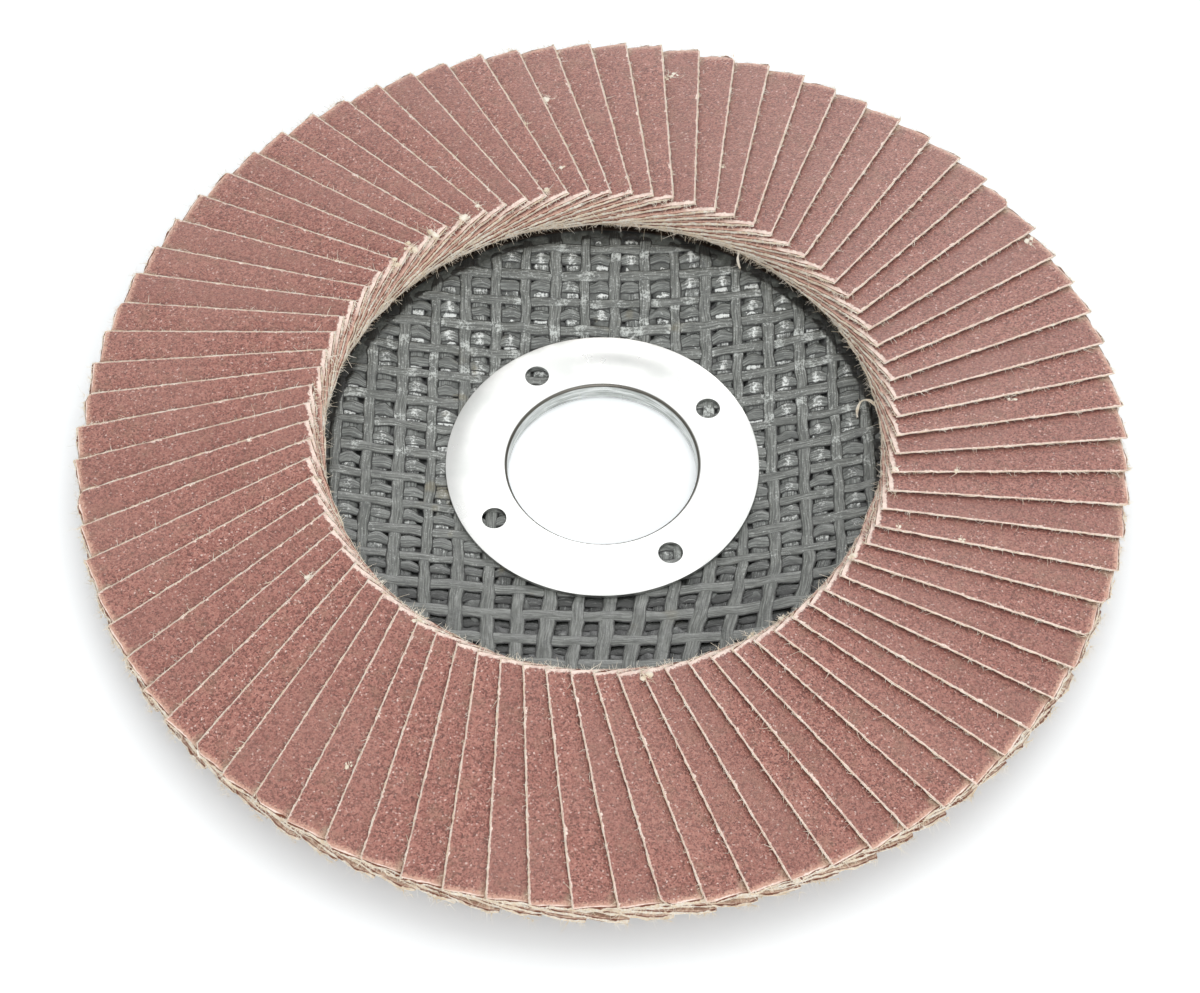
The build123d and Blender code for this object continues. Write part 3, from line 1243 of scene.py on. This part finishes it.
@dataclass
class FlapFan:
    """The fan of abrasive cloth: one flap modelled once, then copied, twisted, frayed and laid in place.

    Levels are shares of the cloth's thickness, and belly says how far each is cut back at a free edge.
    """

    count: int = 82
    width: float = 19.58
    length: float = 27.46
    inner: float = 32.1
    seat: float = 4.90
    top: float = 0.70
    lift: float = 0.07
    edge_lift: float = 0.10
    droop: float = 0.38
    layer_rise: float = 0.80
    along_cuts: int = 44
    columns: int = 23
    levels: tuple[float, ...] = (0.0, 0.30, 0.68, 1.0)
    belly: tuple[float, ...] = (-0.02, 0.045, 0.02, -0.05)
    end_row: float = 0.22
    end_column: float = 0.14
    turn_error: float = 0.07
    slide_error: float = 0.10
    top_fray: float = 0.020
    side_fray: float = 0.040
    side_wander: float = 0.03
    end_wander: float = 0.10
    slide_limit: float = 0.2
    ragged_limit: float = 2.2
    outer_fray: float = 2.0
    inner_fray: float = 1.5
    tuck: float = 0.55
    tuck_reach: tuple[float, float] = (3.0, 2.6)
    corner_round: float = 0.28
    corner_limits: tuple[float, float] = (0.05, 0.9)
    corner_curl: float = 0.05
    curl_limit: float = 0.22
    curl_reach: tuple[float, float] = (3.5, 3.0)
    part_from: float = 0.93
    droop_from: float = 0.82
    worn_depth: float = 0.07
    worn_uneven: float = 0.025
    inner_hairs: int = 92
    outer_hairs: int = 84
    free_hairs: int = 90
    hair_length: float = 0.34
    hair_spread: float = 0.38
    hair_limits: tuple[float, float] = (0.12, 0.8)
    hair_radii: tuple[float, float] = (0.02, 0.05)
    hair_bend: float = 0.75
    free_hair_share: float = 0.80
    seed: int = 11

    def edge_height(self, reach: float) -> float:
        """How high the stack lifts a free edge at one reach."""
        layers = 2 * math.degrees(math.atan2(self.width / 2, reach)) / (360 / self.count)
        return self.seat + layers * self.layer_rise

    def blank(self) -> bpy.types.Object:
        """Models the flap once, flat: a block cut into a net, with its map and three finishes.

        Returns:
            The flap.
        """
        Bench.clear()
        bpy.ops.mesh.primitive_cube_add(size=1)
        piece = bpy.context.object
        cuts = (self.along_cuts, self.columns - 1, len(self.levels) - 2)
        for axis, number in enumerate(cuts):
            Bench.cut_edges(piece, lambda span, a=axis: abs(span[a]) > 0.5, number)
        along, across, level = self.shares(Bench.points(piece.data))
        while piece.data.uv_layers:
            piece.data.uv_layers.remove(piece.data.uv_layers[0])
        net = piece.data.uv_layers.new(name="cloth")
        for loop in piece.data.loops:
            i = loop.vertex_index
            place = (along[i] * self.length / CLOTH_UV, (1 - across[i]) * self.width / CLOTH_UV)
            net.data[loop.index].uv = place
        for material in (GritCloth().make(), CutCotton().make(), ClothBack().make()):
            piece.data.materials.append(material)
        for face in piece.data.polygons:
            heights = [level[i] for i in face.vertices]
            face.material_index = 0 if min(heights) == 1 else 2 if max(heights) == 0 else 1
        return piece

    def shares(self, points: np.ndarray) -> tuple[np.ndarray, np.ndarray, np.ndarray]:
        """Finds where each point of the blank belongs; the last row and column at each cut are narrow.

        Args:
            points: The blank's points.

        Returns:
            Each one's share along the flap, across it to the free edge, and up its thickness.
        """
        steps = self.along_cuts + 1
        row = np.rint((points[:, 0] + 0.5) * steps).astype(int)
        first = self.end_row / self.length
        along = np.concatenate([[0.0], np.linspace(first, 1 - first, steps - 1), [1.0]])[row]
        column = np.rint((0.5 - points[:, 1]) * self.columns).astype(int)
        near = self.end_column / self.width
        across = np.concatenate([[0.0], np.linspace(near, 1 - near, self.columns - 1), [1.0]])[column]
        floor = np.rint((points[:, 2] + 0.5) * (len(self.levels) - 1)).astype(int)
        return along, across, np.array(self.levels)[floor]

    def height(self, reach: np.ndarray, across: np.ndarray) -> np.ndarray:
        """Reads the underside's height: level at the buried edge, and climbing to the free one.

        Args:
            reach: Each place's distance from the axis, along the flap.
            across: Its share of the way to the free edge.

        Returns:
            Its height over the table.
        """
        low, high = self.edge_height(self.inner), self.edge_height(self.inner + self.length)
        edge = low + (high - low) * (reach - self.inner) / self.length
        return self.seat + across * (edge - self.seat)

    def turned(self, local: np.ndarray, number: int, nudge: float) -> np.ndarray:
        """Turns points or directions from the flap's own place to its place in the fan.

        Args:
            local: The rows to turn.
            number: The flap's place in the fan.
            nudge: How far it is turned from its even place, in degrees.

        Returns:
            The turned rows.
        """
        return local @ turning(math.radians(number * 360 / self.count + nudge))

    def flap(self, number: int, grid: np.ndarray) -> tuple[np.ndarray, float]:
        """Shapes one flap of the fan.

        Args:
            number: Its place in the fan.
            grid: The blank's points.

        Returns:
            Its points, and how far it is turned from its even place, in degrees.
        """
        rng = np.random.default_rng(self.seed * 1000 + number)
        along, across, level = self.shares(grid)
        nudge = float(rng.normal(0, self.turn_error))
        slide = float(np.clip(rng.normal(0, self.slide_error), -self.slide_limit, self.slide_limit))
        reach = self.inner + along * self.length + slide
        side = self.width / 2 - across * self.width
        to_free = (1 - across) * self.width
        to_outer, to_inner = (1 - along) * self.length, along * self.length
        free, outer, inner = across == 1, along == 1, along == 0
        ragged = np.clip(rng.normal(0, 1, len(grid)), -self.ragged_limit, self.ragged_limit)
        belly = np.array(self.belly)[np.searchsorted(self.levels, level)]
        fray = belly + ragged * np.where(level == 1, self.top_fray, self.side_fray)
        wander = self.side_wander * Waver(self.seed + 7 * number, (11.0, 3.3, 1.3)).at(to_inner)
        side = side - np.where(free, fray, 0) - np.where(across > 0.9, wander, 0)
        uneven = self.end_wander * Waver(self.seed + 9 * number, (9.0, 3.1, 1.7)).at(to_free)
        reach = reach + np.where(outer, fray * self.outer_fray + uneven, 0)
        reach = reach - np.where(inner, fray * self.inner_fray + uneven * 0.8, 0)
        from_end, from_side = self.tuck_reach
        tucked = np.clip(1 - across * self.width / from_side, 0, 1) ** 1.6
        reach = reach - self.tuck * (tucked * np.clip(1 - to_outer / from_end, 0, 1))
        round_by = float(np.clip(rng.exponential(self.corner_round), *self.corner_limits))
        near = np.clip(1 - to_outer / round_by, 0, 1) * np.clip(1 - to_free / round_by, 0, 1)
        reach, side = reach - near * round_by * 0.5, side + near * round_by * 0.5
        curl = float(np.clip(rng.exponential(self.corner_curl), 0, self.curl_limit))
        curled, lifted = self.curl_reach
        raised = curl * np.exp(-((to_inner / curled) ** 2) - (to_free / lifted) ** 2)
        parted = np.clip((across - self.part_from) / (1 - self.part_from), 0, 1)
        parted = parted * np.clip(to_inner / 1.5, 0.2, 1)
        under = self.lift + self.edge_lift * parted
        under = under + np.where(outer | inner, 0.03 * ragged, 0)
        drooped = np.clip((across - self.droop_from) / (1 - self.droop_from), 0, 1)
        top = self.top - self.droop * drooped**1.5
        z = self.height(reach, across) + under + level * (top - under) + raised
        worn = (level == 1) & (free | outer | inner)
        z = z - np.where(worn, self.worn_depth + self.worn_uneven * np.abs(ragged), 0)
        return self.turned(np.stack([reach, side, z], 1), number, nudge), nudge

    def fringe(self, number: int, nudge: float, hair: np.ndarray) -> list[np.ndarray]:
        """Grows the frayed fibres of one flap's three open edges.

        Args:
            number: The flap's place in the fan.
            nudge: How far it is turned from its even place, in degrees.
            hair: The straight hair's points.

        Returns:
            The points of each hair.
        """
        rng = np.random.default_rng(self.seed * 5000 + number)
        counts = {"inner": self.inner_hairs, "outer": self.outer_hairs, "free": self.free_hairs}
        roots, ways = [], []
        for name, amount in counts.items():
            spot = rng.uniform(0, 1, amount)
            if name != "free":
                choice = rng.uniform(0, 1, amount)
                spot = np.where(choice < 0.40, spot * 0.16, np.where(choice > 0.75, 1 - spot * 0.15, spot))
            level = rng.uniform(0.15, 0.7, amount)
            spread = rng.normal(0, 0.55, (amount, 2))
            if name == "free":
                along, across = spot, np.ones(amount)
                way = np.stack([spread[:, 0] * 4, -np.ones(amount), spread[:, 1] * 0.8], 1)
            else:
                along, across = np.full(amount, float(name == "outer")), spot
                way = np.stack([2 * along - 1, spread[:, 0] * 1.4, spread[:, 1]], 1)
            reach = self.inner + along * self.length
            reach = reach + np.where(along == 1, -0.06, np.where(along == 0, 0.06, 0))
            side = self.width / 2 - across * self.width + (0.06 if name == "free" else 0)
            cloth = self.top - self.lift - (self.droop if name == "free" else 0)
            z = self.height(reach, across) + self.lift + level * cloth
            roots.append(np.stack([reach, side, z], 1))
            ways.append(way)
        roots, ways = np.concatenate(roots), np.concatenate(ways)
        total = len(roots)
        ways = unit(ways)
        bends = rng.normal(0, self.hair_bend, (total, 3)) - np.array([0, 0, 0.12])
        lengths = rng.lognormal(math.log(self.hair_length), self.hair_spread, total)
        lengths = np.clip(lengths, *self.hair_limits)
        lengths[-counts["free"] :] *= self.free_hair_share
        radii = rng.uniform(*self.hair_radii, total)
        roots, ways, bends = (self.turned(rows, number, nudge) for rows in (roots, ways, bends))
        return Fringe().grow(hair, roots, ways, bends, lengths, radii)

    def build(self) -> None:
        """Makes every flap, two to a piece, in place of the fan's CAD solids."""
        blank, hair = self.blank(), Fringe(cuts=1).hair()
        hair.data.materials.append(CottonFibre().make())
        grid, straight = Bench.points(blank.data), Bench.points(hair.data)
        level = self.shares(grid)[2]
        tones = np.random.default_rng(self.seed).uniform(0, 1, self.count)
        for pair in range(self.count // 2):
            numbers = (2 * pair, 2 * pair + 1)
            shaped = [self.flap(number, grid) for number in numbers]
            flaps = Bench.copies(f"abrasive_flaps_{pair + 1:02d}", blank, [points for points, _ in shaped])
            Bench.number(flaps, "layer", np.tile(level, 2))
            Bench.number(flaps, "tone", np.repeat(tones[list(numbers)], len(grid)))
            hairs = []
            for number, (_, nudge) in zip(numbers, shaped):
                hairs += self.fringe(number, nudge, straight)
            fibres = Bench.copies(f"fibres_{pair + 1:02d}", hair, hairs)
            Bench.smooth(flaps, 35)
            piece = Bench.join([flaps, fibres])
            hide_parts(f"flap_pair_{pair + 1:02d}")
            Bench.fit(piece, "abrasive_cloth")
        Bench.scrap(blank)
        Bench.scrap(hair)


@dataclass
class Tuft:
    """A tuft of frayed cotton, by its place in plan, its size and how many fibres it has."""

    x: float
    y: float
    size: float
    fibres: int


@dataclass
class LooseFibres:
    """Tufts, chips of bare cloth and stray threads that the cutting left on the fan."""

    tufts: tuple[Tuft, ...] = (
        Tuft(-20.3, 26.9, 1.9, 40),
        Tuft(-22.8, 24.7, 1.5, 30),
        Tuft(-16.5, 29.2, 1.5, 30),
        Tuft(-15.0, 31.2, 1.0, 18),
        Tuft(-24.5, 22.4, 1.2, 20),
        Tuft(-6.8, 33.8, 1.3, 24),
        Tuft(-5.0, 37.9, 0.9, 14),
        Tuft(-7.0, 49.9, 1.6, 30),
        Tuft(-9.7, 45.9, 0.8, 10),
        Tuft(8.3, 54.3, 1.6, 26),
        Tuft(14.5, 38.6, 0.9, 10),
        Tuft(-47.7, -1.0, 0.8, 10),
        Tuft(-40.2, -2.7, 0.5, 6),
        Tuft(-37.5, -10.7, 1.0, 12),
        Tuft(-32.3, -8.2, 1.0, 14),
        Tuft(-32.3, -21.0, 1.5, 26),
        Tuft(-20.1, -26.6, 1.4, 22),
        Tuft(-38.7, -41.6, 1.0, 12),
        Tuft(-26.9, -43.6, 1.0, 12),
        Tuft(4.7, -33.8, 1.5, 26),
        Tuft(16.3, -28.2, 1.2, 20),
        Tuft(19.8, -25.8, 1.1, 18),
        Tuft(27.6, -18.6, 1.0, 16),
        Tuft(33.1, -6.7, 0.9, 14),
        Tuft(40.1, -6.5, 0.8, 12),
        Tuft(47.2, 4.2, 0.8, 10),
        Tuft(33.0, -14.5, 0.7, 8),
        Tuft(39.9, -15.6, 0.8, 12),
        Tuft(-49.7, -22.0, 0.5, 6),
        Tuft(51.5, 28.1, 1.3, 18),
    )
    threads: tuple[tuple[Point, ...], ...] = (
        (
            (32.9, 4.6, 6.9),
            (32.0, 5.2, 6.7),
            (31.2, 6.3, 6.4),
            (30.3, 6.6, 5.6),
            (29.8, 5.9, 4.9),
            (29.9, 5.2, 4.5),
        ),
        ((16.9, 29.2, 7.2), (16.5, 28.4, 6.6), (16.3, 27.8, 5.6), (16.6, 27.3, 4.5)),
        ((-20.9, -24.6, 6.6), (-20.2, -23.8, 6.0), (-19.6, -22.9, 4.9)),
    )
    flakes: tuple[float, ...] = (0.30, 0.24, 0.20, 0.15, 0.12)
    plies: int = 3
    ply_radius: float = 0.085
    ply_sides: int = 6
    ply_cuts: int = 22
    fluff: int = 16
    seed: int = 31

    def surface(self, x: float, y: float) -> float:
        """Finds the height of the fan or plate straight below a point above the disc.

        Args:
            x: The point's place along X, in millimetres.
            y: Its place along Y.

        Returns:
            The height in millimetres.
        """
        graph = bpy.context.evaluated_depsgraph_get()
        hit, place, *_ = bpy.context.scene.ray_cast(graph, (x * MM, y * MM, 0.05), (0, 0, -1))
        return place.z / MM if hit else 0.0

    def chip(self) -> bpy.types.Object:
        """Models one flake of bare cloth once: a flattened ball pressed uneven.

        Returns:
            The flake, about two units across.
        """
        Bench.clear()
        bpy.ops.mesh.primitive_ico_sphere_add(subdivisions=2, radius=1)
        piece = bpy.context.object
        bpy.ops.object.mode_set(mode="EDIT")
        bpy.ops.mesh.select_all(action="SELECT")
        bpy.ops.transform.vertex_random(offset=0.30, seed=4)
        bpy.ops.transform.resize(value=(1, 0.75, 0.35))
        bpy.ops.object.mode_set(mode="OBJECT")
        return piece

    def along(self, stops: Sequence[Point], share: np.ndarray) -> np.ndarray:
        """Finds points on a smooth line through the stops.

        Args:
            stops: What the line goes through.
            share: How far along it each point is, from 0 to 1.

        Returns:
            The points.
        """
        knots = np.array([stops[0], *stops, stops[-1]], float)
        pieces = len(stops) - 1
        at = np.clip(share * pieces, 0, pieces - 1e-6)
        i, t = at.astype(int), (at % 1)[:, None]
        a, b, c, d = (knots[i + k] for k in range(4))
        bent = (2 * a - 5 * b + 4 * c - d) * t**2 + (3 * b - a - 3 * c + d) * t**3
        return 0.5 * (2 * b + (c - a) * t + bent)

    def bend(self, blank: np.ndarray, stops: Sequence[Point], radius: float) -> np.ndarray:
        """Lays a copy of the straight thread along a line of stops.

        Args:
            blank: The straight thread's points.
            stops: What the line goes through.
            radius: The thread's radius.

        Returns:
            The copy's points.
        """
        share = blank[:, 0] + 0.5
        line = self.along(stops, share)
        ahead, behind = (self.along(stops, np.clip(share + step, 0, 1)) for step in (0.01, -0.01))
        run = unit(ahead - behind)
        first = unit(np.cross(run, np.array([0.3, 0.2, 0.93])))
        second = np.cross(run, first)
        return line + (first * blank[:, 1:2] + second * blank[:, 2:3]) * radius

    def frayed(
        self, tuft: Tuft, flat: np.ndarray, straight: np.ndarray, rng: np.random.Generator
    ) -> tuple[list[np.ndarray], list[np.ndarray]]:
        """Shapes one tuft: flakes of cloth pulled loose, and hairs that stand out of them.

        Args:
            tuft: Its place and size.
            flat: The flake's points.
            straight: The straight hair's points.
            rng: Where its random numbers come from.

        Returns:
            The points of each flake, and of each hair.
        """
        z = self.surface(tuft.x, tuft.y)
        turn = turning(rng.uniform(0, math.tau))
        flakes = []
        for share in self.flakes:
            aside = rng.normal(0, 0.30, 2) * tuft.size * np.array([1.0, 0.6]) @ turn[:2, :2]
            place = np.array([tuft.x + aside[0], tuft.y + aside[1], z])
            flakes.append(flat * tuft.size * share @ turn + place)
        size = (tuft.fibres, 3)
        ways = unit(rng.normal(0, 1, size) * np.array([1, 1, 0.35]) + np.array([0, 0, 0.2]))
        spread = rng.normal(0, 0.2, size) * tuft.size * np.array([1, 1, 0.1])
        roots = np.array([tuft.x, tuft.y, z + 0.03]) + spread
        bends = rng.normal(0, 0.9, size) * np.array([1, 1, 0.25])
        lengths = rng.uniform(0.15, 0.48, tuft.fibres) * tuft.size
        radii = rng.uniform(0.03, 0.05, tuft.fibres)
        return flakes, Fringe().grow(straight, roots, ways, bends, lengths, radii)

    def build(self) -> None:
        """Makes the tufts where the cloth has frayed, and the threads that hang in the well."""
        rng = np.random.default_rng(self.seed)
        chip, hair, strand = self.chip(), Fringe().hair(), Bench.bar(self.ply_sides, self.ply_cuts)
        flakes, hairs, lines = [], [], []
        flat, straight, bar = (Bench.points(blank.data) for blank in (chip, hair, strand))
        for tuft in self.tufts:
            torn, standing = self.frayed(tuft, flat, straight, rng)
            flakes += torn
            hairs += standing
        for stops in self.threads:
            for _ in range(self.plies):
                loose = np.array(stops) + rng.normal(0, 0.07, (len(stops), 3))
                lines.append(self.bend(bar, loose, self.ply_radius))
            places = self.along(stops, rng.uniform(0.05, 0.95, self.fluff))
            ways = unit(rng.normal(0, 1, (self.fluff, 3)))
            bends = rng.normal(0, 0.4, (self.fluff, 3))
            lengths, radii = rng.uniform(0.3, 0.8, self.fluff), np.full(self.fluff, 0.035)
            hairs += Fringe().grow(straight, places, ways, bends, lengths, radii)
        parts = [
            Bench.copies("loose_fibres", chip, flakes),
            Bench.copies("tuft_hairs", hair, hairs),
            Bench.copies("stray_threads", strand, lines),
        ]
        for blank in (chip, hair, strand):
            Bench.scrap(blank)
        piece = Bench.join(parts)
        piece.data.materials.clear()
        piece.data.materials.append(CottonFibre().make())
        Bench.smooth(piece, 60)
        Bench.fit(piece, "abrasive_cloth")


@dataclass
class Studio:
    """A white table, soft light from above and behind, and the camera where the photograph was taken."""

    target: tuple[float, float, float] = (-0.276, -4.778, 2.5)
    distance: float = 332.4
    elevation: float = 56.19
    roll: float = 0.003
    lens: float = 86.13
    table: float = -0.05
    table_size: float = 6.0
    ambient: float = 0.68
    lamps: tuple[tuple[str, Point, float, float], ...] = (
        ("overhead", (0.05, 0.28, 0.82), 0.70, 1.9),
        ("far_sheen", (0.10, 0.72, 0.27), 0.45, 2.4),
        ("front", (0.16, -0.66, 0.46), 0.60, 2.45),
        ("spark_far", (-0.12, 0.62, 0.70), 0.04, 0.04),
    )

    def camera(self) -> None:
        """Sets the camera from its measured place and roll."""
        e = math.radians(self.elevation)
        back = Vector((0, -math.cos(e), math.sin(e)))
        right = Vector((1, 0, 0))
        up = back.cross(right)
        c, s = math.cos(self.roll), math.sin(self.roll)
        right, up = right * c + up * s, up * c - right * s
        place = (Vector(self.target) + back * self.distance) * MM
        lens = bpy.data.cameras.new("camera")
        lens.lens, lens.sensor_width, lens.sensor_fit = self.lens, 36.0, "HORIZONTAL"
        lens.clip_start = 0.01
        eye = bpy.data.objects.new("camera", lens)
        bpy.context.scene.collection.objects.link(eye)
        turn = Matrix((right, up, back)).transposed().to_4x4()
        eye.matrix_world = Matrix.Translation(place) @ turn
        bpy.context.scene.camera = eye

    def seen(self, tree: bpy.types.NodeTree) -> Socket:
        """Tells what is seen from what only lights the object.

        Args:
            tree: The node tree that asks.

        Returns:
            1 for what the camera, a reflection or a clear piece sees, and 0 for light on the object.
        """
        path = add_node(tree, "LightPath").outputs
        seen = path["Is Camera Ray"]
        for ray in ("Is Glossy Ray", "Is Transmission Ray"):
            seen = add_node(tree, "Math", {"operation": "MAXIMUM"}, {0: seen, 1: path[ray]}).outputs[0]
        return seen

    def blend(self, tree: bpy.types.NodeTree, light: Socket, shown: Socket, output: str) -> None:
        """Ends a node tree with one shader as light on the object and another where it is seen.

        Args:
            tree: The node tree.
            light: The shader that lights the object.
            shown: The shader that is seen.
            output: The kind of the tree's last node.
        """
        mixed = add_node(tree, "MixShader", None, {0: self.seen(tree), 1: light, 2: shown})
        add_node(tree, output, None, {0: mixed.outputs[0]})

    def world(self) -> None:
        """Surrounds the disc with even light, and shows white where it is seen."""
        world = bpy.data.worlds.new("studio")
        world.use_nodes = True
        bpy.context.scene.world = world
        tree = world.node_tree
        tree.nodes.clear()
        even = add_node(tree, "Background", None, {0: srgb("FFFFFF"), 1: self.ambient})
        white = add_node(tree, "Background", None, {0: srgb("FFFFFF"), 1: 1.0})
        self.blend(tree, even.outputs[0], white.outputs[0], "OutputWorld")

    def floor(self) -> None:
        """Lays the white table, which keeps the disc's soft shadow."""
        Bench.clear()
        bpy.ops.mesh.primitive_plane_add(size=self.table_size, location=(0, 0, self.table * MM))
        table = bpy.context.object
        table.name = "table"
        material = bpy.data.materials.new("white_table")
        material.use_nodes = True
        tree = material.node_tree
        tree.nodes.clear()
        plain = add_node(tree, "BsdfDiffuse", None, {0: srgb("F1F1F3")})
        bright = add_node(tree, "BsdfDiffuse", None, {0: srgb("9AA2A3")})
        lit = add_node(tree, "AddShader", None, {0: plain.outputs[0], 1: bright.outputs[0]})
        self.blend(tree, plain.outputs[0], lit.outputs[0], "OutputMaterial")
        table.data.materials.append(material)

    def lamp(self, name: str, place: Point, size: float, power: float) -> None:
        """Hangs one soft square lamp, aimed at the disc.

        Args:
            name: The lamp's name.
            place: Where it hangs, in metres.
            size: The length of its side, in metres.
            power: Its power in watts.
        """
        data = bpy.data.lights.new(name, "AREA")
        data.shape, data.size, data.energy = "SQUARE", size, power
        lamp = bpy.data.objects.new(name, data)
        bpy.context.scene.collection.objects.link(lamp)
        lamp.location = place
        lamp.rotation_euler = (-Vector(place)).to_track_quat("-Z", "Y").to_euler()
        lamp.visible_diffuse = not name.endswith("sheen")

    def build(self) -> None:
        """Sets the whole studio."""
        self.camera()
        self.world()
        self.floor()
        for name, place, size, power in self.lamps:
            self.lamp(name, place, size, power)
        bpy.context.scene.view_settings.view_transform = "Standard"


def dress_glue() -> None:
    """Gives the adhesive's CAD solid its finish; its shape stays."""
    glue = bpy.data.objects["adhesive_bed"]
    glue.data.materials.clear()
    glue.data.materials.append(CuredGlue().make())


def main() -> None:
    """Builds the studio and every piece of the disc in order."""
    logging.basicConfig(level=logging.INFO, format="%(name)s: %(message)s")
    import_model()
    Bench.clear()
    Studio().build()
    MeshPlate().build()
    CentreRing().build()
    dress_glue()
    FlapFan().build()
    LooseFibres().build()


if __name__ == "__main__":
    main()
